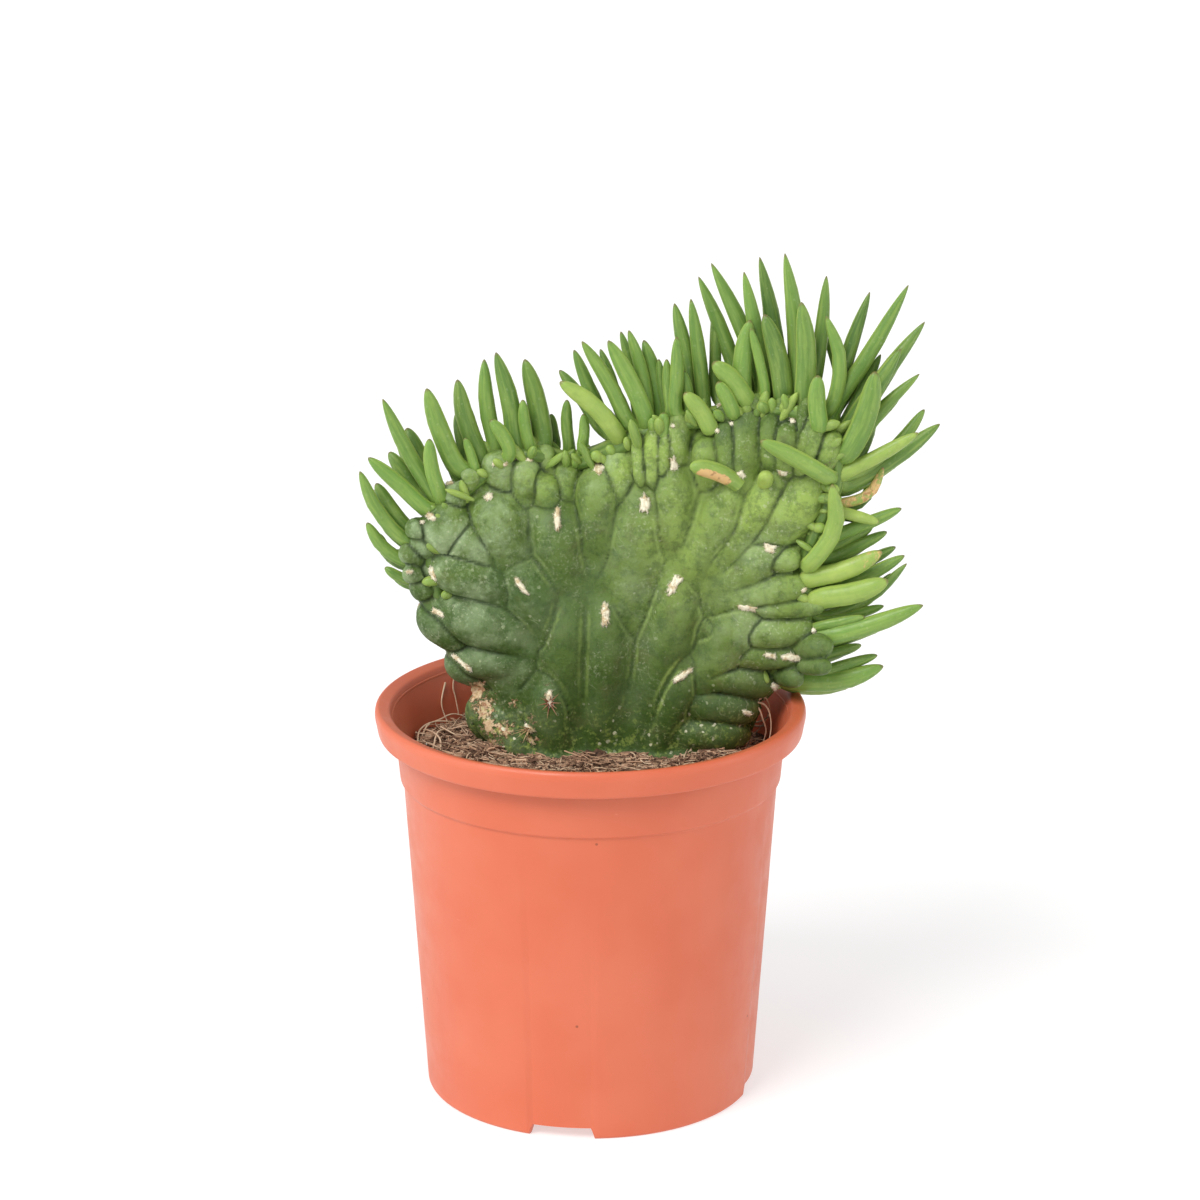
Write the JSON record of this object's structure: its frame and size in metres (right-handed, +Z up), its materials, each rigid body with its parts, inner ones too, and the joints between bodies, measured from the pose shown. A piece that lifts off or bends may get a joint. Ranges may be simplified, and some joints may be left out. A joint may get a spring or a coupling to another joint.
{
  "type": "potted crested eve's needle cactus",
  "caption": "Crested, fan-shaped needle cactus with fleshy leaves along its growing edge, in peaty soil in a round nursery pot with a turned-down rim.",
  "frame": {"origin": "centre of the pot's underside, on the surface that the pot stands on", "axes": "+Z up, the fan's broad front face towards -Y, its tall crown towards +X"},
  "size_m": [0.1401, 0.106, 0.2103],
  "materials": {
    "pot_plastic": "satin",
    "peat_soil": "matte",
    "stem_skin": "satin",
    "leaf_skin": "satin"
  },
  "bodies": {
    "root": {"pot": "pot_plastic", "soil": "peat_soil", "stem": "stem_skin", "leaves_left": "leaf_skin", "leaves_middle": "leaf_skin", "leaves_crown": "leaf_skin", "leaves_right": "leaf_skin"}
  },
  "joints": []
}
